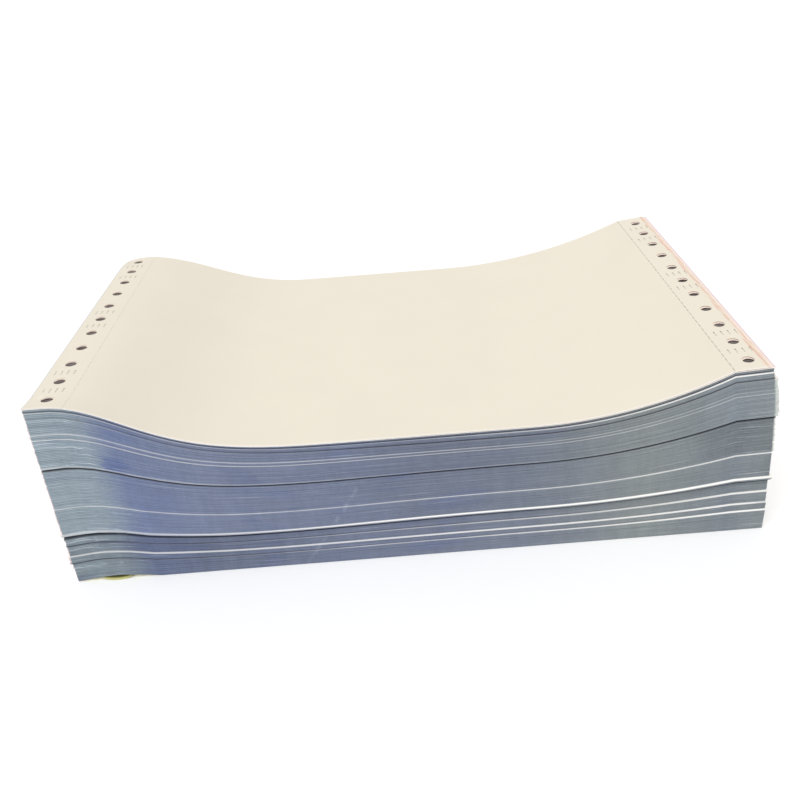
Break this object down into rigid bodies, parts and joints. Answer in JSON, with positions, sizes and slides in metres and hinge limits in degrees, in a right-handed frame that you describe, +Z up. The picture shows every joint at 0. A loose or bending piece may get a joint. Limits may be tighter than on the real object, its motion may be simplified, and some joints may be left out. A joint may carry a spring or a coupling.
{
  "type": "fanfold continuous form paper",
  "caption": "Stack of fanfold continuous form paper with punched tear-off strips, raised crimped margins and a sagging middle.",
  "frame": {"origin": "middle of the underside, at the surface that the stack lies on", "axes": "+X across the web to the right, +Y from the front folds to the back folds, +Z up through the sheets"},
  "size_m": [0.2415, 0.1406, 0.0706],
  "materials": {
    "form_paper": "matte"
  },
  "bodies": {
    "root": {"fanfold_stack": "form_paper"}
  },
  "joints": []
}
